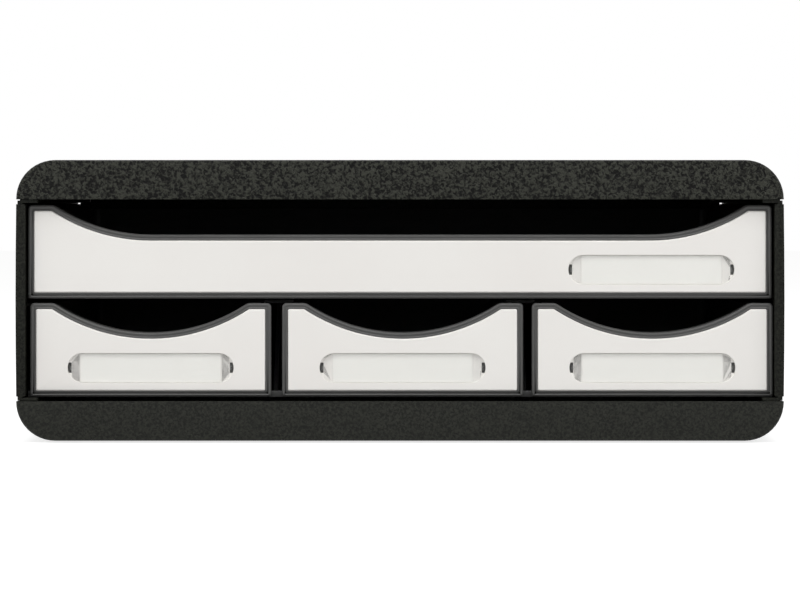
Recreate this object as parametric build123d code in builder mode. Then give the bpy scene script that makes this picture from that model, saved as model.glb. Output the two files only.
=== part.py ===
from build123d import *
import os
from math import acos, asin, degrees, sqrt

os.makedirs("parts", exist_ok=True)

# Desktop mini drawers: a snap-together housing with one wide drawer over three small ones.
# Millimetres. X runs across the front, the front faces -Y, and Z is up from the foot pads' soles.

# Housing
housing_width = 354.4  # across the caps
housing_depth = 270.0
side_height = 93.2  # between the caps

# Caps: the base and the top cover are hollow mouldings of one form
cap_height = 18.2
cap_radius = 18.0  # the long rounded edges
cap_wall = 2.5
cap_edge_chamfer = 0.8  # front and rear edges
cap_rib_wall = 1.6
cap_rib_height = 6.5
cap_rib_inset = 57.2  # from the cap's side to its first rib
cap_rib_count = 5
cap_cross_rib_inset = 47.0  # from the cap's front to its first cross rib
cap_cross_rib_count = 3
carrier_rest_inset = 27.2  # from the base's side to the cross walls that carry the carrier

# Foot pads, half sunk into the base
pad_length = 26.0
pad_width = 12.0
pad_thickness = 2.0
pad_proud = 1.0
pad_gap = 0.2
pad_side_inset = 32.2  # from the base's side and front to the pads' middles
pad_front_inset = 45.0

# Side panels
side_wall = 4.2  # at the front and rear beads
side_skin = 2.4  # between the beads
side_crown = 0.3  # how far the outer face bows out past the caps
side_setback = 0.8  # from the caps' front and rear faces
bead_depth = 8.0
bead_height = 5.0
bead_corner_radius = 0.6
neck_height = 2.2  # stepped shadow groove next to each cap
neck_inset = 0.6
neck_wall = 2.2
seam_notch_height = 0.5
seam_notch_depth = 1.7
flange_thickness = 1.6
flange_end = 9.8  # the flange's inner edge, from the outer face

# Tabs on the flanges, pressed into blind sockets in the caps
tab_length = 10.0
tab_thickness = 3.0
tab_height = 5.0
tab_lead = 0.6
tab_clearance = 0.1
tab_side_inset = 5.4  # from the outer face to the tabs' middles
tab_end_inset = 27.0  # from the caps' front to the first tab's middle
tab_count = 4
socket_wall = 1.6
socket_depth = 5.6

# Back panel, held by tongues that stand inside the caps' rear walls
back_thickness = 1.8
back_fit = 0.1
back_rim_width = 3.0
back_rim_height = 1.6
tongue_width = 24.0
tongue_height = 5.0
tongue_inset = 67.2  # from the caps' side to the first tongue's middle
tongue_count = 3

# Drawer fronts
front_recess = 4.0  # behind the caps' front faces
front_side_gap = 1.0  # to the side panels' beads
front_top_gap = 2.6  # under the top cover
row_gap = 2.2
column_gap = 4.8
cut_depth = 13.7  # finger cut-out
cut_shoulder = 11.0  # from a small front's side to its cut-out
wide_cut_shoulder = 11.7
shoulder_radius = 4.0
frame_border = 2.6
frame_top_radius = 2.0
frame_bottom_radius = 0.9
frame_edge_chamfer = 0.7
pocket_depth = 2.2
frame_web = 1.8
lip_thickness = 2.2
lip_depth = 12.0  # grip lip along the top edge, from the front face
lip_edge_chamfer = 0.6

# Front panels and their label holders
panel_gap = 0.1
panel_proud = 0.3
panel_corner_radius = 0.8
panel_edge_chamfer = 0.5
label_length = 76.8
label_height = 13.6
label_depth = 1.2
label_lift = 13.3  # centre of the label over the front's lower edge
slot_width = 1.8
slot_height = 4.8
window_gap = 0.2
window_thickness = 0.5
window_flat = 65.0  # raised stretch between the two folds
hook_height = 2.0
hook_clearance = 0.3
card_thickness = 0.3
card_gap = 0.1
card_side_gap = 0.3

# Trays
tray_inset = 5.0  # each side, from the front's edge to the tray's side
tray_wall = 1.6
tray_lift = 2.75  # tray floor over the front's lower edge
tray_draft = 1.0
tray_corner_radius = 6.0
tray_bottom_chamfer = 3.0
rim_reach = 2.6
rim_thickness = 1.6
rear_clearance = 1.0

# Runners under the trays, guides over their rims, and the stops that end the travel
travel = 190.0
runner_height = 1.2
runner_width = 1.4
runner_inset = 7.5  # from the tray's side
runner_clearance = 0.25
rail_thickness = 1.6
rail_margin = 1.0  # of the ledge past the stops
rail_lead = 2.0  # behind the grip lip
guide_clearance = 0.3
guide_overlap = 2.0
stop_inset = 11.5
stop_width = 3.0
stop_length = 6.0
stop_ramp = 3.0
stop_setback = 4.0  # from the tray's rear wall
stop_clearance = 0.5

# Carrier of the small drawers
carrier_floor = 1.7
carrier_gap = 0.6  # to the side panels and to the backs of the fronts
carrier_lip_wall = 2.0
carrier_lip_radius = 0.6
carrier_rear_wall = 1.6
divider_wall = 2.0
divider_foot = 14.0  # where the rake starts, behind the carrier's lip
divider_rake = 46.0  # how far the raked front edge runs back

# Each small drawer: its column, and how far its side play has taken it
small_drawers = {
    "left_drawer": (-1, 0.9),
    "middle_drawer": (0, 1.2),
    "right_drawer": (1, 0.5),
}

# Heights
seam_low = pad_proud + cap_height
seam_high = seam_low + side_height
mid_height = seam_low + side_height / 2
carrier_z = seam_low + flange_thickness
carrier_floor_z = carrier_z + carrier_floor
tray_rise = runner_height + runner_clearance  # tray floor over what carries the runners
small_front_z = carrier_floor_z + tray_rise - tray_lift
front_height = (seam_high - front_top_gap - row_gap - small_front_z) / 2
wide_front_z = small_front_z + front_height + row_gap
ledge_z = wide_front_z + tray_lift - tray_rise - rail_thickness
rim_top = front_height - lip_thickness  # over the front's lower edge
guide_rise = rim_top + guide_clearance
small_guide_z = small_front_z + guide_rise
wide_guide_z = wide_front_z + guide_rise

# Places across
outer_x = housing_width / 2
skin_x = outer_x - side_skin
bead_x = outer_x - side_wall
flange_x = outer_x - flange_end
tab_x = outer_x - tab_side_inset
wide_front_width = 2 * (bead_x - front_side_gap)
small_front_width = (wide_front_width - 2 * column_gap) / 3
column_pitch = small_front_width + column_gap
small_tray_half = small_front_width / 2 - tray_inset
wide_tray_half = wide_front_width / 2 - tray_inset
small_rim_half = small_tray_half + rim_reach
ledge_x = wide_tray_half - stop_inset - stop_width / 2 - rail_margin
wide_guide_x = wide_tray_half + rim_reach - guide_overlap
small_guide_x = column_pitch + small_rim_half - guide_overlap
divider_top_half = column_pitch / 2 - small_rim_half + guide_overlap

# Finger cut-outs: an arc over each small front, and the same arc halved at each end of the wide one
cut_half = small_front_width / 2 - cut_shoulder
cut_radius = (cut_half**2 + cut_depth**2) / (2 * cut_depth)
wide_cut_flat = wide_front_width / 2 - wide_cut_shoulder - cut_half

# Places along
front_y = -housing_depth / 2 + front_recess
frame_depth = pocket_depth + frame_web
frame_rear_y = front_y + frame_depth
rail_front_y = front_y + lip_depth + rail_lead
back_y = housing_depth / 2 - cap_wall - back_fit - back_thickness
carrier_front_y = frame_rear_y + carrier_gap
carrier_rear_y = back_y - back_fit
rail_rear_y = carrier_rear_y - carrier_rear_wall - back_fit
rim_rear_y = carrier_rear_y - carrier_rear_wall - rear_clearance
tray_rear_y = rim_rear_y - rim_reach
tooth_y = tray_rear_y - stop_setback - stop_length
stop_y = tooth_y - travel - stop_clearance - stop_length


def pitch(length, inset, count):
    # spacing of a row that keeps an inset at both ends
    return (length - 2 * inset) / (count - 1)


def across(y):
    # plane that faces the front, at a place along the depth
    return Plane.XZ.offset(-y)


def stop_section(y, z, rise):
    # block with one square end and one ramped end; a positive rise stands up and is square at the rear
    near, far = (y + stop_length, y) if rise > 0 else (y, y + stop_length)
    ramp = stop_ramp if rise > 0 else -stop_ramp
    with BuildSketch() as section:
        with BuildLine():
            Polyline((near, z), (near, z + rise), (far + ramp, z + rise), (far, z), close=True)
        make_face()
    return section.sketch


# Caps

rib_pitch = pitch(housing_width, cap_rib_inset, cap_rib_count)
cross_rib_pitch = pitch(housing_depth, cap_cross_rib_inset, cap_cross_rib_count)
tab_pitch = pitch(housing_depth, tab_end_inset, tab_count)
pad_pitch_x = pitch(housing_width, pad_side_inset, 2)
pad_pitch_y = pitch(housing_depth, pad_front_inset, 2)


def cap_section(seam, up, inset):
    # slab with two long rounded edges away from the seam
    height = cap_height - inset
    with BuildSketch() as section:
        with Locations((0, seam + up * height / 2)):
            Rectangle(housing_width - 2 * inset, height)
        outer_corners = section.vertices().sort_by(lambda v: abs(v.Y - seam))[-2:]
        fillet(outer_corners, cap_radius - inset)
    return section.sketch


def tab_places(seam, grow):
    # outlines of the tabs on both flanges that meet a cap, or of what goes round them
    with BuildSketch(Plane.XY.offset(seam)) as places:
        with GridLocations(2 * tab_x, tab_pitch, 2, tab_count):
            Rectangle(tab_thickness + 2 * grow, tab_length + 2 * grow)
    return places.sketch


def cap_core(seam, up):
    # the hollow of a cap, slotted where its ribs and its sockets stand
    rib_z = seam + up * (cap_height - cap_wall - cap_rib_height / 2)
    with BuildPart() as core:
        with BuildSketch(Plane.XZ):
            add(cap_section(seam, up, cap_wall))
        extrude(amount=housing_depth / 2 - cap_wall, both=True)
        with Locations((0, 0, rib_z)):
            with GridLocations(rib_pitch, 0, cap_rib_count, 1):
                Box(cap_rib_wall, housing_depth, cap_rib_height, mode=Mode.SUBTRACT)
            with GridLocations(0, cross_rib_pitch, 1, cap_cross_rib_count):
                Box(housing_width, cap_rib_wall, cap_rib_height, mode=Mode.SUBTRACT)
        extrude(tab_places(seam, tab_clearance + socket_wall), amount=up * cap_height, mode=Mode.SUBTRACT)
    return core.part


def cap(seam, up):
    with BuildPart() as shell:
        with BuildSketch(Plane.XZ):
            add(cap_section(seam, up, 0))
        extrude(amount=housing_depth / 2, both=True)
        ends = shell.edges().group_by(Axis.Y)
        outer_edges = (ends[0] + ends[-1]).sort_by(lambda e: abs(e.center().Z - seam))[2:]
        chamfer(outer_edges, cap_edge_chamfer)
        add(cap_core(seam, up), mode=Mode.SUBTRACT)
        extrude(tab_places(seam, tab_clearance), amount=up * socket_depth, mode=Mode.SUBTRACT)
    return shell.part


with BuildPart() as top_cover:
    add(cap(seam_high, 1))

with BuildPart() as base:
    add(cap(seam_low, -1))
    # cross walls that carry the carrier's floor
    with BuildSketch(Plane.XY.offset(carrier_z)):
        with GridLocations(0, cross_rib_pitch, 1, cap_cross_rib_count):
            Rectangle(housing_width - 2 * carrier_rest_inset, cap_rib_wall)
    extrude(amount=pad_proud + cap_wall - carrier_z)
    # shallow seats of the foot pads
    with BuildSketch(Plane.XY.offset(pad_proud)):
        with GridLocations(pad_pitch_x, pad_pitch_y, 2, 2):
            Rectangle(pad_length + 2 * pad_gap, pad_width + 2 * pad_gap)
    extrude(amount=pad_thickness - pad_proud, mode=Mode.SUBTRACT)

with BuildPart() as foot_pads:
    with BuildSketch(Plane.XY):
        with GridLocations(pad_pitch_x, pad_pitch_y, 2, 2):
            Rectangle(pad_length, pad_width)
    extrude(amount=pad_thickness)


# Side panels


def side_section():
    # upper half of the flanged channel, mirrored about its middle, with a crowned outer face
    half = side_height / 2
    neck = half - neck_height
    neck_x = outer_x - neck_inset
    notch_x = outer_x - seam_notch_depth
    crown_radius = (side_crown**2 + neck**2) / (2 * side_crown)
    with BuildSketch() as section:
        with BuildLine():
            face = CenterArc(
                (outer_x + side_crown - crown_radius, 0), crown_radius, 0, degrees(asin(neck / crown_radius))
            )
            Polyline(
                face @ 1,
                (neck_x, neck),
                (neck_x, half - seam_notch_height),
                (notch_x, half - seam_notch_height),
                (notch_x, half),
                (flange_x, half),
                (flange_x, half - flange_thickness),
                (neck_x - neck_wall, half - flange_thickness),
                (neck_x - neck_wall, neck),
                (bead_x, neck),
                (bead_x, 0),
            )
            mirror(about=Plane.XZ)
        make_face()
        inner_face = section.vertices().group_by(Axis.X)[1].sort_by(Axis.Y)
        fillet([inner_face[0], inner_face[-1]], bead_corner_radius)
    return section.sketch


with BuildPart() as right_side_panel:
    with BuildSketch(Plane((0, 0, mid_height), x_dir=(1, 0, 0), z_dir=(0, -1, 0))):
        add(side_section())
    extrude(amount=housing_depth / 2 - side_setback, both=True)
    # thinner skin between the beads
    with BuildSketch(Plane.YZ.offset(bead_x)):
        with Locations((0, mid_height)):
            Rectangle(
                housing_depth - 2 * (side_setback + bead_depth),
                side_height - 2 * (neck_height + bead_height),
            )
    extrude(amount=side_wall - side_skin, mode=Mode.SUBTRACT)
    # ledge and runner under the wide tray, and a guide over the rim of each row
    with BuildSketch(across(rail_front_y)):
        with Locations((ledge_x, ledge_z)):
            Rectangle(skin_x - ledge_x, rail_thickness, align=Align.MIN)
        with Locations((wide_tray_half - runner_inset, ledge_z + rail_thickness)):
            Rectangle(runner_width, runner_height, align=(Align.CENTER, Align.MIN))
        with Locations((wide_guide_x, wide_guide_z)):
            Rectangle(skin_x - wide_guide_x, rail_thickness, align=Align.MIN)
        with Locations((small_guide_x, small_guide_z)):
            Rectangle(skin_x - small_guide_x, rail_thickness, align=Align.MIN)
    extrude(amount=rail_front_y - rail_rear_y)
    # stop that catches the wide tray's tooth
    with BuildSketch(Plane.YZ.offset(wide_tray_half - stop_inset - stop_width / 2)):
        add(stop_section(stop_y, ledge_z + rail_thickness, runner_height))
    extrude(amount=stop_width)
    # tabs, up into the top cover and down into the base
    for seam, up in ((seam_high, 1), (seam_low, -1)):
        with BuildSketch(Plane.XY.offset(seam)):
            with Locations((tab_x, 0)):
                with GridLocations(0, tab_pitch, 1, tab_count):
                    Rectangle(tab_thickness, tab_length)
        extrude(amount=up * tab_height)
    tips = right_side_panel.edges().group_by(Axis.Z)
    chamfer(tips[0] + tips[-1], tab_lead)

with BuildPart() as left_side_panel:
    mirror(right_side_panel.part, about=Plane.YZ)


# Back panel


def back_outline():
    # full height between the side panels' flanges, and wider between top and bottom flanges
    with BuildSketch() as outline:
        with Locations((0, mid_height)):
            Rectangle(2 * (flange_x - back_fit), side_height)
            Rectangle(2 * (bead_x - back_fit), side_height - 2 * (flange_thickness + back_fit))
    return outline.sketch


with BuildPart() as back_panel:
    tongue_pitch = pitch(housing_width, tongue_inset, tongue_count)
    with BuildSketch(across(back_y)):
        add(back_outline())
        with Locations((0, mid_height)):
            with GridLocations(tongue_pitch, side_height + tongue_height, tongue_count, 2):
                Rectangle(tongue_width, tongue_height)
    extrude(amount=-back_thickness)
    # raised rim on the rear face
    with BuildSketch(across(back_y + back_thickness)):
        add(back_outline())
        offset(back_outline(), amount=-back_rim_width, kind=Kind.INTERSECTION, mode=Mode.SUBTRACT)
    extrude(amount=-back_rim_height)


# Carrier of the small drawers

with BuildPart() as small_drawer_carrier:
    carrier_width = 2 * (bead_x - carrier_gap)
    with BuildSketch(Plane.XY.offset(carrier_z)):
        with Locations((0, carrier_front_y)):
            Rectangle(carrier_width, carrier_rear_y - carrier_front_y, align=(Align.CENTER, Align.MIN))
    extrude(amount=carrier_floor)
    # front lip, level with the runners
    with BuildSketch(Plane.XY.offset(carrier_z)):
        with Locations((0, carrier_front_y)):
            Rectangle(carrier_width, carrier_lip_wall, align=(Align.CENTER, Align.MIN))
    extrude(amount=carrier_floor + runner_height)
    lip_edges = small_drawer_carrier.edges().filter_by(Axis.X).group_by(Axis.Z)[-1]
    fillet(lip_edges, carrier_lip_radius)
    # rear wall
    with BuildSketch(Plane.XY.offset(carrier_z)):
        with Locations((0, carrier_rear_y)):
            Rectangle(carrier_width, carrier_rear_wall, align=(Align.CENTER, Align.MAX))
    extrude(amount=small_guide_z + rail_thickness - carrier_z)
    # raked dividers
    rake_y = carrier_front_y + divider_foot
    with BuildSketch(Plane.YZ):
        with BuildLine():
            Polyline(
                (rake_y, carrier_floor_z),
                (rake_y + divider_rake, small_guide_z),
                (carrier_rear_y, small_guide_z),
                (carrier_rear_y, carrier_floor_z),
                close=True,
            )
        make_face()
    divider = extrude(amount=divider_wall / 2, both=True, mode=Mode.PRIVATE)
    with GridLocations(column_pitch, 0, 2, 1):
        add(divider)
    # guide on top of each divider, over the rims of the trays beside it
    with BuildSketch(Plane.XY.offset(small_guide_z)):
        with GridLocations(column_pitch, 0, 2, 1):
            with Locations((0, rake_y + divider_rake)):
                Rectangle(
                    2 * divider_top_half,
                    carrier_rear_y - rake_y - divider_rake,
                    align=(Align.CENTER, Align.MIN),
                )
    extrude(amount=rail_thickness)
    # two runners and two stops in each bay
    for column, _ in small_drawers.values():
        for side in (-1, 1):
            runner_x = column * column_pitch + side * (small_tray_half - runner_inset)
            stop_x = column * column_pitch + side * (small_tray_half - stop_inset)
            with BuildSketch(Plane.XY.offset(carrier_floor_z)):
                with Locations((runner_x, carrier_front_y)):
                    Rectangle(runner_width, carrier_rear_y - carrier_front_y, align=(Align.CENTER, Align.MIN))
            extrude(amount=runner_height)
            with BuildSketch(Plane.YZ.offset(stop_x - stop_width / 2)):
                add(stop_section(stop_y, carrier_floor_z, runner_height))
            extrude(amount=stop_width)


# Drawers: each piece is made round the middle of the front's lower edge, then put in its place


def front_face(width, cut_flat, margin, top_radius, bottom_radius):
    # a drawer front with its finger cut-out, drawn in all round by a margin
    radius = cut_radius + margin
    centre = front_height - cut_depth + cut_radius
    sweep = degrees(acos((cut_radius - cut_depth - frame_border) / radius))
    with BuildSketch() as face:
        with Locations((0, front_height / 2)):
            Rectangle(width - 2 * margin, front_height - 2 * margin)
        fillet(face.vertices().group_by(Axis.Y)[-1], top_radius)
        fillet(face.vertices().group_by(Axis.Y)[0], bottom_radius)
        with BuildLine():
            left = CenterArc((-cut_flat, centre), radius, 270 - sweep, sweep)
            right = CenterArc((cut_flat, centre), radius, 270, sweep)
            if cut_flat > 0:
                Line(left @ 1, right @ 0)
            Line(right @ 1, left @ 0)
        make_face(mode=Mode.SUBTRACT)
        shoulders = face.vertices().group_by(Axis.Y)[-1].sort_by(lambda v: abs(v.X))[:2]
        fillet(shoulders, shoulder_radius - margin)
    return face.sketch


def front_frame(width, cut_flat):
    # moulded frame with a rounded face, a pocket for the panel and a grip lip along the top edge
    outline = front_face(width, cut_flat, 0, frame_top_radius, frame_bottom_radius)
    inner = front_face(width, cut_flat, frame_border, panel_corner_radius, panel_corner_radius)
    under_lip = front_face(width, cut_flat, lip_thickness, panel_corner_radius, panel_corner_radius)
    with BuildPart() as lip:
        with BuildSketch(across(frame_rear_y)):
            add(outline)
            add(under_lip, mode=Mode.SUBTRACT)
            with Locations((0, front_height)):
                Rectangle(
                    width - 2 * tray_inset,
                    cut_depth + 2 * lip_thickness,
                    align=(Align.CENTER, Align.MAX),
                    mode=Mode.INTERSECT,
                )
        extrude(amount=frame_depth - lip_depth)
        chamfer(lip.edges().group_by(Axis.Y)[-1], lip_edge_chamfer)
    with BuildPart() as frame:
        with BuildSketch(across(front_y)):
            add(outline)
        extrude(amount=-frame_depth)
        chamfer(frame.edges().group_by(Axis.Y)[0], frame_edge_chamfer)
        with BuildSketch(across(front_y)):
            add(inner)
        extrude(amount=-pocket_depth, mode=Mode.SUBTRACT)
        add(lip.part)
    return frame.part


def tub(half_width, front, rear, floor, corner_radius, bottom_chamfer, open_front):
    # drafted box down from the rim; the front corners and edge stay square where a front closes it
    with BuildPart() as box:
        with BuildSketch(Plane.XY.offset(rim_top)) as mouth:
            with Locations((0, front)):
                Rectangle(2 * half_width, rear - front, align=(Align.CENTER, Align.MIN))
            corners = mouth.vertices().sort_by(Axis.Y)
            fillet(corners[2:] if open_front else corners, corner_radius)
        extrude(amount=floor - rim_top, taper=tray_draft)
        edges = box.edges().group_by(Axis.Z)[0].sort_by(Axis.Y)
        chamfer(edges[1:] if open_front else edges, bottom_chamfer)
    return box.part


def tray(width, cut_flat):
    half = width / 2 - tray_inset
    with BuildPart() as shell:
        add(
            tub(
                half,
                frame_rear_y - frame_web / 2,
                tray_rear_y,
                tray_lift,
                tray_corner_radius,
                tray_bottom_chamfer,
                True,
            )
        )
        # out-turned rim
        with BuildSketch(Plane.XY.offset(rim_top)) as rim:
            with Locations((0, frame_rear_y)):
                Rectangle(2 * (half + rim_reach), rim_rear_y - frame_rear_y, align=(Align.CENTER, Align.MIN))
            fillet(rim.vertices().group_by(Axis.Y)[-1], tray_corner_radius + rim_reach)
        extrude(amount=-rim_thickness)
        add(
            tub(
                half - tray_wall,
                frame_rear_y,
                tray_rear_y - tray_wall,
                tray_lift + tray_wall,
                tray_corner_radius - tray_wall,
                tray_bottom_chamfer - tray_wall * (2 - sqrt(2)),
                False,
            ),
            mode=Mode.SUBTRACT,
        )
        # the finger cut-out goes on through the tub's front wall
        with BuildSketch(across(front_y)):
            with Locations((0, front_height)):
                Rectangle(width, 2 * cut_depth)
            add(front_face(width, cut_flat, 0, frame_top_radius, frame_bottom_radius), mode=Mode.SUBTRACT)
        extrude(amount=-lip_depth, mode=Mode.SUBTRACT)
        add(front_frame(width, cut_flat))
        # teeth under the rear of the floor
        for side in (-1, 1):
            with BuildSketch(Plane.YZ.offset(side * (half - stop_inset) - stop_width / 2)):
                add(stop_section(tooth_y, tray_lift, -runner_height))
            extrude(amount=stop_width)
    return shell.part


def front_panel(width, cut_flat, label_x):
    outer_y = front_y - panel_proud
    margin = frame_border + panel_gap
    with BuildPart() as panel:
        with BuildSketch(across(outer_y)):
            add(front_face(width, cut_flat, margin, panel_corner_radius, panel_corner_radius))
        extrude(amount=-(panel_proud + pocket_depth))
        chamfer(panel.edges().group_by(Axis.Y)[0], panel_edge_chamfer)
        with BuildSketch(across(outer_y)):
            with Locations((label_x, label_lift)):
                SlotOverall(label_length, label_height)
        extrude(amount=-label_depth, mode=Mode.SUBTRACT)
        # a slot at each end of the recess, for the window's hooks
        with BuildSketch(across(outer_y)):
            with Locations((label_x, label_lift)):
                SlotOverall(label_length, label_height)
                Rectangle(label_length - 2 * slot_width, label_height, mode=Mode.SUBTRACT)
                Rectangle(label_length, slot_height, mode=Mode.INTERSECT)
        extrude(amount=-(panel_proud + pocket_depth), mode=Mode.SUBTRACT)
    return panel.part


def label_window(label_x):
    # clear strip, raised over the card between two folds, with a hook through each slot
    recess_y = front_y - panel_proud + label_depth
    raised_y = recess_y - card_thickness - card_gap
    fold_x = window_flat / 2
    step = card_thickness + card_gap
    slot_x = label_length / 2 - slot_width
    hook_x = slot_x + hook_clearance
    with BuildPart() as window:
        with BuildSketch(Plane.XY.offset(label_lift)):
            with BuildLine(Plane.XY):
                Polyline(
                    (0, raised_y),
                    (fold_x, raised_y),
                    (fold_x + step, recess_y),
                    (label_length, recess_y),
                    (label_length, recess_y - window_thickness),
                    (fold_x + step, recess_y - window_thickness),
                    (fold_x, raised_y - window_thickness),
                    (0, raised_y - window_thickness),
                )
                mirror(about=Plane.YZ)
            make_face()
        extrude(amount=label_height / 2, both=True)
        with BuildSketch(across(recess_y)):
            with Locations((0, label_lift)):
                SlotOverall(label_length - 2 * window_gap, label_height - 2 * window_gap)
                Rectangle(2 * (slot_x - window_gap), label_height, mode=Mode.INTERSECT)
                Rectangle(2 * (hook_x + window_thickness), hook_height)
        extrude(amount=label_depth, both=True, mode=Mode.INTERSECT)
        for side in (-1, 1):
            with BuildSketch(across(recess_y)):
                with Locations((side * (hook_x + window_thickness / 2), label_lift)):
                    Rectangle(window_thickness, hook_height)
            extrude(amount=recess_y - front_y - pocket_depth + window_gap)
    with BuildPart() as placed:
        with Locations((label_x, 0, 0)):
            add(window.part)
    return placed.part


def label_card(label_x):
    recess_y = front_y - panel_proud + label_depth
    with BuildPart() as card:
        with BuildSketch(across(recess_y)):
            with Locations((label_x, label_lift)):
                Rectangle(window_flat - 2 * card_side_gap, label_height - 2 * card_side_gap)
        extrude(amount=card_thickness)
    return card.part


def drawer_pieces(width, cut_flat, label_x):
    return {
        "tray": tray(width, cut_flat),
        "front_panel": front_panel(width, cut_flat, label_x),
        "label_window": label_window(label_x),
        "label_card": label_card(label_x),
    }


def write(name, piece):
    piece.label = name
    export_step(piece, f"parts/{name}.step")


def write_drawer(name, pieces, x, z):
    for piece_name, piece in pieces.items():
        with BuildPart() as placed:
            with Locations((x, 0, z)):
                add(piece)
        write(f"{name}_{piece_name}", placed.part)


write("base", base.part)
write("top_cover", top_cover.part)
write("left_side_panel", left_side_panel.part)
write("right_side_panel", right_side_panel.part)
write("back_panel", back_panel.part)
write("small_drawer_carrier", small_drawer_carrier.part)
write("foot_pads", foot_pads.part)
write_drawer("wide_drawer", drawer_pieces(wide_front_width, wide_cut_flat, column_pitch), 0, wide_front_z)
small_pieces = drawer_pieces(small_front_width, 0, 0)
for drawer, (column, play) in small_drawers.items():
    write_drawer(drawer, small_pieces, column * column_pitch + play, small_front_z)
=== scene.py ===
from math import radians

import bmesh
import bpy
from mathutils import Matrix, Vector


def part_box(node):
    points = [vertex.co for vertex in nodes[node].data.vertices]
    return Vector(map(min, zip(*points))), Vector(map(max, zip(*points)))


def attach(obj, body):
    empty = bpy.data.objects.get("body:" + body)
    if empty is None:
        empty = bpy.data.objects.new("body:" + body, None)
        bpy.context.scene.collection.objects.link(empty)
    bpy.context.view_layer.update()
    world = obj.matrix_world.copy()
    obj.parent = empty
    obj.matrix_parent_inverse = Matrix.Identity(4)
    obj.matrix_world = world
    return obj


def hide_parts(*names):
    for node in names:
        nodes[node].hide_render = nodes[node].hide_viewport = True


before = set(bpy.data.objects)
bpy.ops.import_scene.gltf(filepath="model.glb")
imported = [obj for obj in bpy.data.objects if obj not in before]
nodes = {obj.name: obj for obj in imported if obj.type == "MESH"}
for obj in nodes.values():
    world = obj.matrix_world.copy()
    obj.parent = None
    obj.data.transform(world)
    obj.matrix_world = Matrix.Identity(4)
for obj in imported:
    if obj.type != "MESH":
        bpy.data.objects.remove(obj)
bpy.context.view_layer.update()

# Desktop mini drawers in a small daylight studio. Metres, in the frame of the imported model.

mm = 0.001
housing = "housing"
drawers = ("wide_drawer", "left_drawer", "middle_drawer", "right_drawer")
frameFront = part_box("wide_drawer_tray")[0].y


def toLinear(hexColour):
    # sRGB hex to the linear values that the shader sockets want
    levels = [int(hexColour[i:i + 2], 16) / 255 for i in (1, 3, 5)]
    return [v / 12.92 if v <= 0.04045 else ((v + 0.055) / 1.055) ** 2.4 for v in levels] + [1]


def perMm(size):
    # texture scale, in repeats per metre, for a feature of that many millimetres
    return 1 / (size * mm)


def addNode(tree, kind, values=None, links=None, **settings):
    # one shader node with its settings, its socket values and its links
    node = tree.nodes.new("ShaderNode" + kind)
    for key, value in settings.items():
        setattr(node, key, value)
    for key, value in (values or {}).items():
        node.inputs[key].default_value = value
    for key, source in (links or {}).items():
        tree.links.new(source, node.inputs[key])
    return node


def startMaterial(name, finish):
    # a Principled shader with the finish's constant sockets, and the object coordinates
    material = bpy.data.materials.new(name)
    material.use_nodes = True
    tree = material.node_tree
    shader = tree.nodes["Principled BSDF"]
    shader.inputs["IOR"].default_value = finish["ior"]
    shader.inputs["Roughness"].default_value = finish["roughness"]
    shader.inputs["Specular IOR Level"].default_value = finish.get("sheen", 0.5)
    shader.inputs["Base Color"].default_value = toLinear(finish["colour"])
    place = addNode(tree, "TexCoord").outputs["Object"]
    return material, tree, shader, place


def tintBetween(tree, shader, amount, dark, light, spread=0.2):
    # the base colour drifts between two tones, over that much of the pattern each side of its middle
    ramp = addNode(tree, "ValToRGB", links={"Fac": amount})
    ramp.color_ramp.elements[0].position = 0.5 - spread
    ramp.color_ramp.elements[1].position = 0.5 + spread
    ramp.color_ramp.elements[0].color = toLinear(dark)
    ramp.color_ramp.elements[1].color = toLinear(light)
    tree.links.new(ramp.outputs["Color"], shader.inputs["Base Color"])


def roughBetween(tree, shader, amount, finish):
    # the roughness drifts about the finish's own, by its share of uneven
    low, high = finish["roughness"] - finish["uneven"], finish["roughness"] + finish["uneven"]
    spread = addNode(tree, "MapRange", {"To Min": low, "To Max": high}, {"Value": amount})
    tree.links.new(spread.outputs["Result"], shader.inputs["Roughness"])


def bumpFrom(tree, shader, layers):
    # each layer is a height output, and how deep it goes in millimetres
    normal = None
    for height, depth in layers:
        bump = addNode(tree, "Bump", {"Distance": depth * mm, "Strength": 1.0}, {"Height": height})
        if normal:
            tree.links.new(normal, bump.inputs["Normal"])
        normal = bump.outputs["Normal"]
    tree.links.new(normal, shader.inputs["Normal"])


fineGrain = {"size": 0.4, "height": 0.3}  # shares of the coarse grain under it


def grainedShell(name, finish):
    # black high-impact polystyrene, moulded against a spark-eroded steel face:
    # short worm-like ridges with small glints on their flanks; the colour is painted paler on the ridge tops
    # as highlight and darker in the pits between as shade
    material, tree, shader, place = startMaterial(name, finish)
    worms = addNode(
        tree, "TexNoise",
        {"Scale": perMm(finish["grain"]), "Detail": 1.5, "Roughness": 0.55, "Distortion": 0.7},
        {"Vector": place},
    )
    fine = addNode(
        tree, "TexNoise",
        {"Scale": perMm(finish["grain"] * fineGrain["size"]), "Detail": 1.0, "Roughness": 0.6},
        {"Vector": place},
    )
    bumpFrom(tree, shader, [(worms.outputs["Fac"], finish["depth"]),
                            (fine.outputs["Fac"], finish["depth"] * fineGrain["height"])])
    # painted highlight on the ridges and painted shade in the pits: the tone follows the ridges' height
    tintBetween(tree, shader, worms.outputs["Fac"], finish["dark"], finish["light"], finish["spread"])
    roughBetween(tree, shader, fine.outputs["Fac"], finish)
    return material


def satinMoulding(name, finish):
    # pigmented polystyrene from a blasted mould: an even satin with faint flow clouds
    material, tree, shader, place = startMaterial(name, finish)
    blast = addNode(tree, "TexNoise", {"Scale": perMm(finish["grain"]), "Detail": 2.0}, {"Vector": place})
    clouds = addNode(tree, "TexNoise", {"Scale": perMm(finish["patch"]), "Detail": 2.0}, {"Vector": place})
    bumpFrom(tree, shader, [(blast.outputs["Fac"], finish["depth"])])
    tintBetween(tree, shader, clouds.outputs["Fac"], finish["dark"], finish["light"])
    roughBetween(tree, shader, blast.outputs["Fac"], finish)
    return material


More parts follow.
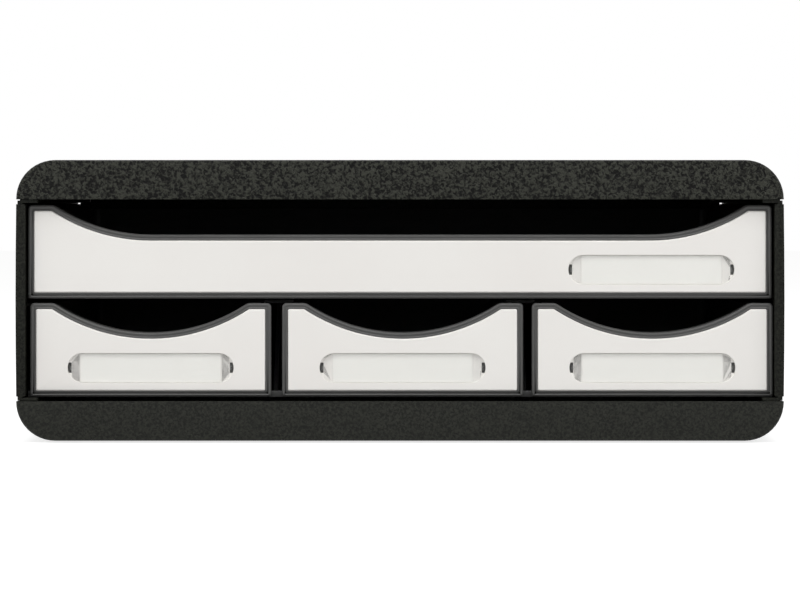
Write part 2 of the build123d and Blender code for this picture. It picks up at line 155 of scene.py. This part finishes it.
def polishedMoulding(name, finish):
    # white polystyrene from a polished mould: a clear gloss with a slow orange-peel waviness
    material, tree, shader, place = startMaterial(name, finish)
    peel = addNode(tree, "TexNoise", {"Scale": perMm(finish["grain"]), "Detail": 1.0}, {"Vector": place})
    clouds = addNode(tree, "TexNoise", {"Scale": perMm(finish["patch"]), "Detail": 2.0}, {"Vector": place})
    bumpFrom(tree, shader, [(peel.outputs["Fac"], finish["depth"])])
    tintBetween(tree, shader, clouds.outputs["Fac"], finish["dark"], finish["light"])
    roughBetween(tree, shader, clouds.outputs["Fac"], finish)
    return material


def clearFilm(name, finish):
    # rolled PVC window strip: nearly invisible, with a faint haze and the rolling's long ripple
    material, tree, shader, place = startMaterial(name, finish)
    shader.inputs["Alpha"].default_value = finish["haze"]
    ripple = addNode(tree, "Mapping", {"Scale": (1.0, 1.0, finish["stretch"])}, {"Vector": place})
    waves = addNode(tree, "TexNoise", {"Scale": perMm(finish["grain"]), "Detail": 1.0},
                    {"Vector": ripple.outputs["Vector"]})
    bumpFrom(tree, shader, [(waves.outputs["Fac"], finish["depth"])])
    tintBetween(tree, shader, waves.outputs["Fac"], finish["dark"], finish["light"])
    return material


def plainCard(name, finish):
    # uncoated card: fibres give it a dry surface and slight mottling
    material, tree, shader, place = startMaterial(name, finish)
    fibres = addNode(tree, "TexNoise", {"Scale": perMm(finish["grain"]), "Detail": 4.0, "Roughness": 0.7},
                     {"Vector": place})
    bumpFrom(tree, shader, [(fibres.outputs["Fac"], finish["depth"])])
    tintBetween(tree, shader, fibres.outputs["Fac"], finish["dark"], finish["light"])
    return material


def mattRubber(name, finish):
    # die-cut foam rubber: open pores and a dusty, dry grey-black, painted darker towards each pore's middle
    # as shade
    material, tree, shader, place = startMaterial(name, finish)
    pores = addNode(tree, "TexVoronoi", {"Scale": perMm(finish["grain"])}, {"Vector": place}, feature="F1")
    bumpFrom(tree, shader, [(pores.outputs["Distance"], finish["depth"])])
    tintBetween(tree, shader, pores.outputs["Distance"], finish["dark"], finish["light"])
    return material


# sizes in millimetres; the caps' grain is drawn a little coarse so that it shows at this distance;
# colour is the middle tone, between dark and light
# the top cover is the base's plastic; its tones spread wider, for stronger painted highlights on the ridges
# and painted shade in the pits, where the overhead light falls
topShell = grainedShell("coarse grained polystyrene, top cover", {
    "colour": "#1b1c18", "dark": "#030302", "light": "#363731", "ior": 1.59, "roughness": 0.3,
    "sheen": 0.07, "uneven": 0.12, "grain": 1.4, "spread": 0.1, "depth": 1.1})
baseShell = grainedShell("fine grained polystyrene, base", {
    "colour": "#1e1f1b", "dark": "#131411", "light": "#292a25", "ior": 1.59, "roughness": 0.42,
    "sheen": 0.1, "uneven": 0.12, "grain": 1.1, "spread": 0.12, "depth": 0.3})
sideShell = grainedShell("fine grained polystyrene, side panels", {
    "colour": "#161713", "dark": "#0a0b08", "light": "#20211c", "ior": 1.59, "roughness": 0.42,
    "sheen": 0.07, "uneven": 0.12, "grain": 1.1, "spread": 0.12, "depth": 0.3})
backShell = grainedShell("fine grained polystyrene, back panel", {
    "colour": "#1e1f1b", "dark": "#161714", "light": "#272823", "ior": 1.59, "roughness": 0.5,
    "sheen": 0.14, "uneven": 0.12, "grain": 1.1, "spread": 0.16, "depth": 0.15})
trayGrey = satinMoulding("blasted satin polystyrene, trays", {
    "colour": "#4b4b4a", "dark": "#484847", "light": "#4e4e4d", "ior": 1.59, "roughness": 0.34,
    "sheen": 0.2, "uneven": 0.06, "grain": 0.5, "patch": 30.0, "depth": 0.02})
# the carrier is the trays' grey polystyrene, painted darker as shade, since it sits recessed behind the
# drawer fronts
carrierShadeGrey = satinMoulding("blasted satin polystyrene, carrier", {
    "colour": "#3e3e3d", "dark": "#3b3b3b", "light": "#424241", "ior": 1.59, "roughness": 0.42,
    "sheen": 0.2, "uneven": 0.06, "grain": 0.5, "patch": 30.0, "depth": 0.02})
frontWhite = polishedMoulding("polished polystyrene, drawer fronts", {
    "colour": "#e7e4e0", "dark": "#e6e3df", "light": "#e9e7e3", "ior": 1.59, "roughness": 0.3,
    "sheen": 0.35, "uneven": 0.04, "grain": 9.0, "patch": 60.0, "depth": 0.01})
windowFilm = clearFilm("rolled clear film, label windows", {
    "colour": "#eceeea", "dark": "#e9ebe7", "light": "#f0f1ee", "ior": 1.54, "roughness": 0.12,
    "haze": 0.08, "grain": 12.0, "stretch": 6.0, "depth": 0.02})
labelCard = plainCard("uncoated card, labels", {
    "colour": "#eeede8", "dark": "#ecebe6", "light": "#f1f0ec", "ior": 1.5, "roughness": 0.85,
    "sheen": 0.3, "grain": 0.6, "depth": 0.02})
padRubber = mattRubber("foam rubber, foot pads", {
    "colour": "#232323", "dark": "#1c1c1c", "light": "#2a2a29", "ior": 1.5, "roughness": 0.9,
    "grain": 0.7, "depth": 0.1})

print("materials: done")


def paint(piece, material):
    piece.data.materials.clear()
    piece.data.materials.append(material)


flatness = {"facing": 0.999, "off": 0.02}  # off in millimetres


def onFrontPlane(face):
    # the flat of a drawer's frame
    facesFront = face.normal.y < -flatness["facing"]
    return facesFront and abs(face.calc_center_median().y - frameFront) < flatness["off"] * mm


def softened(nodeName, body, material, edge, form=None):
    # the node's form again, its edges rounded as the mould leaves them and its curves shaded smooth
    shape = bmesh.new()
    shape.from_mesh(nodes[nodeName].data)
    bmesh.ops.remove_doubles(shape, verts=shape.verts, dist=edge["weld"] * mm)
    crisp = set(form(shape)) if form else set()
    loose = [e for e in shape.edges if not any(onFrontPlane(face) or face in crisp for face in e.link_faces)]
    bmesh.ops.dissolve_limit(shape, angle_limit=radians(edge["flat"]), use_dissolve_boundaries=False,
                             verts=[], edges=loose)
    closed = [e for e in shape.edges if len(e.link_faces) == 2 and not crisp.intersection(e.link_faces)]
    corners = [e for e in closed if e.calc_face_angle() > radians(edge["sharp"])]
    bmesh.ops.bevel(shape, geom=corners, offset=edge["round"] * mm, offset_type="OFFSET",
                    segments=edge["steps"], profile=0.5, affect="EDGES", clamp_overlap=True, material=-1)
    low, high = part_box(nodeName)
    for corner in shape.verts:  # a rounded corner never stands outside the sharp one
        corner.co = [min(max(value, low[i]), high[i]) for i, value in enumerate(corner.co)]
    bmesh.ops.recalc_face_normals(shape, faces=shape.faces)
    for face in shape.faces:
        face.smooth = True
    mesh = bpy.data.meshes.new(f"{nodeName}_moulded")
    shape.to_mesh(mesh)
    shape.free()
    mesh.set_sharp_from_angle(angle=radians(edge["crease"]))
    piece = bpy.data.objects.new(f"{nodeName}_moulded", mesh)
    bpy.context.collection.objects.link(piece)
    piece.data.materials.append(material)
    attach(piece, body)
    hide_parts(nodeName)
    print(nodeName, len(mesh.polygons), "faces")


def closeSeam(shape):
    # the back panel's corner steps, drawn out towards the side panels' lips;
    # it doesn't close the seam: light still shows as a small glint at each upper corner
    low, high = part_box("back_panel")
    middle = (low.z + high.z) / 2
    for corner in shape.verts:
        beside = abs(corner.co.x) > high.x - backSeam["stepWidth"] * mm
        level = corner.co.z - middle
        if beside and abs(level) > high.z - middle - backSeam["stepDepth"] * mm:
            corner.co.z += backSeam["reach"] * mm * (1 if level > 0 else -1)
    return []


def sinkGroove(shape):
    # a shallow groove between the frame's outer bead and its inner ridge; its walls stay crisp
    flat = [face for face in shape.faces if onFrontPlane(face)]
    bmesh.ops.inset_region(shape, faces=flat, thickness=frameBead["ridge"] * mm, depth=0,
                           use_boundary=True, use_even_offset=True)
    walls = bmesh.ops.inset_region(shape, faces=flat, thickness=frameBead["slope"] * mm,
                                   depth=-frameBead["sunk"] * mm, use_boundary=True, use_even_offset=True)
    return walls["faces"] + flat


# edge rounding in millimetres, angles in degrees
capEdge = {"weld": 0.002, "flat": 0.4, "sharp": 28.0, "round": 0.25, "steps": 2, "crease": 40.0}
wallEdge = {"weld": 0.002, "flat": 0.4, "sharp": 28.0, "round": 0.15, "steps": 2, "crease": 40.0}
trayEdge = {"weld": 0.002, "flat": 0.4, "sharp": 28.0, "round": 0.14, "steps": 2, "crease": 40.0}
panelEdge = {"weld": 0.002, "flat": 0.4, "sharp": 28.0, "round": 0.12, "steps": 2, "crease": 12.0}
backSeam = {"stepWidth": 6.0, "stepDepth": 7.5, "reach": 0.3}
frameBead = {"ridge": 0.5, "slope": 0.12, "sunk": 0.22}

softened("top_cover", housing, topShell, capEdge)
softened("base", housing, baseShell, capEdge)
for side in ("left_side_panel", "right_side_panel"):
    softened(side, housing, sideShell, wallEdge)
softened("back_panel", housing, backShell, wallEdge, form=closeSeam)
softened("small_drawer_carrier", housing, carrierShadeGrey, trayEdge)
paint(nodes["foot_pads"], padRubber)
print("housing: done")

for drawer in drawers:
    softened(f"{drawer}_tray", drawer, trayGrey, trayEdge, form=sinkGroove)
    softened(f"{drawer}_front_panel", drawer, frontWhite, panelEdge)
    paint(nodes[f"{drawer}_label_window"], windowFilm)
    paint(nodes[f"{drawer}_label_card"], labelCard)
    print(f"{drawer}: done")


# the camera is at the photograph's angle, level and straight on
camera = {
    "lens": 150.0,  # mm
    "sensor": 36.0,  # mm
    "frontWidth": 369.07,  # mm of the front plane across the picture
    "eyeHeight": 111.0,
    "pictureMiddle": 66.0,  # height on the front plane at the picture's middle
    "nearest": 50.0,  # mm
}
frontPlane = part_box("base")[0].y
eyeDistance = camera["lens"] / camera["sensor"] * camera["frontWidth"] * mm
lensData = bpy.data.cameras.new("studio lens")
lensData.lens = camera["lens"]
lensData.sensor_width = camera["sensor"]
lensData.shift_y = (camera["pictureMiddle"] - camera["eyeHeight"]) / camera["frontWidth"]
lensData.clip_start = camera["nearest"] * mm
studioCamera = bpy.data.objects.new("studio camera", lensData)
studioCamera.location = (0, frontPlane - eyeDistance, camera["eyeHeight"] * mm)
studioCamera.rotation_euler = (radians(90), 0, 0)
bpy.context.collection.objects.link(studioCamera)
bpy.context.scene.camera = studioCamera


studio = {
    "floorSize": 12.0,
    "floorColour": "#c8c8c8",
    "floorLift": 0.72,  # what the camera sees added, so that the lit floor is white and its shadow stays
    "worldLevel": 0.42,
    "seenWhite": 1.0,
    "lampsAim": (0, -0.1, 0.06),
}
lamps = {  # watts
    "overhead soft box": {"place": (0.0, -0.8, 1.5), "size": (1.6, 0.6), "power": 17},
    "left soft box": {"place": (-1.7, -0.6, 0.6), "size": (0.7, 0.9), "power": 8},
    "right soft box": {"place": (1.7, -0.6, 0.6), "size": (0.7, 0.9), "power": 8},
    "front fill": {"place": (0.0, -3.2, 0.9), "size": (2.4, 1.2), "power": 10.5},
}


def softBox(name, lamp):
    light = bpy.data.lights.new(name, "AREA")
    light.shape = "RECTANGLE"
    light.size, light.size_y = lamp["size"]
    light.energy = lamp["power"]
    stand = bpy.data.objects.new(name, light)
    place = Vector(lamp["place"])
    stand.location = place
    stand.rotation_euler = (Vector(studio["lampsAim"]) - place).to_track_quat("-Z", "Y").to_euler()
    bpy.context.collection.objects.link(stand)


for name, lamp in lamps.items():
    softBox(name, lamp)


def seenDirectly(tree):
    # 1 for rays from the camera, and for what it sees in gloss and through clear pieces
    path = addNode(tree, "LightPath")
    either = addNode(tree, "Math", operation="MAXIMUM",
                     links={0: path.outputs["Is Camera Ray"], 1: path.outputs["Is Glossy Ray"]})
    return addNode(tree, "Math", operation="MAXIMUM",
                   links={0: either.outputs[0], 1: path.outputs["Is Transmission Ray"]}).outputs[0]


floorMesh = bmesh.new()
bmesh.ops.create_grid(floorMesh, x_segments=1, y_segments=1, size=studio["floorSize"] / 2)
floorData = bpy.data.meshes.new("floor")
floorMesh.to_mesh(floorData)
floorMesh.free()
floor = bpy.data.objects.new("floor", floorData)
bpy.context.collection.objects.link(floor)

paper = bpy.data.materials.new("matt background paper")
paper.use_nodes = True
tree = paper.node_tree
tree.nodes.clear()
diffuse = addNode(tree, "BsdfDiffuse", {"Color": toLinear(studio["floorColour"])})
lift = addNode(tree, "Emission", {"Strength": studio["floorLift"]})
bright = addNode(tree, "AddShader", links={0: diffuse.outputs[0], 1: lift.outputs[0]})
choice = addNode(tree, "MixShader",
                 links={0: seenDirectly(tree), 1: diffuse.outputs[0], 2: bright.outputs[0]})
addNode(tree, "OutputMaterial", links={"Surface": choice.outputs[0]})
floor.data.materials.append(paper)

world = bpy.data.worlds.new("studio world")
bpy.context.scene.world = world
world.use_nodes = True
tree = world.node_tree
tree.nodes.clear()
room = addNode(tree, "Background", {"Color": (1, 1, 1, 1), "Strength": studio["worldLevel"]})
white = addNode(tree, "Background", {"Color": (1, 1, 1, 1), "Strength": studio["seenWhite"]})
choice = addNode(tree, "MixShader", links={0: seenDirectly(tree), 1: room.outputs[0], 2: white.outputs[0]})
addNode(tree, "OutputWorld", links={"Surface": choice.outputs[0]})
bpy.context.scene.view_settings.view_transform = "Standard"
print("studio: done")
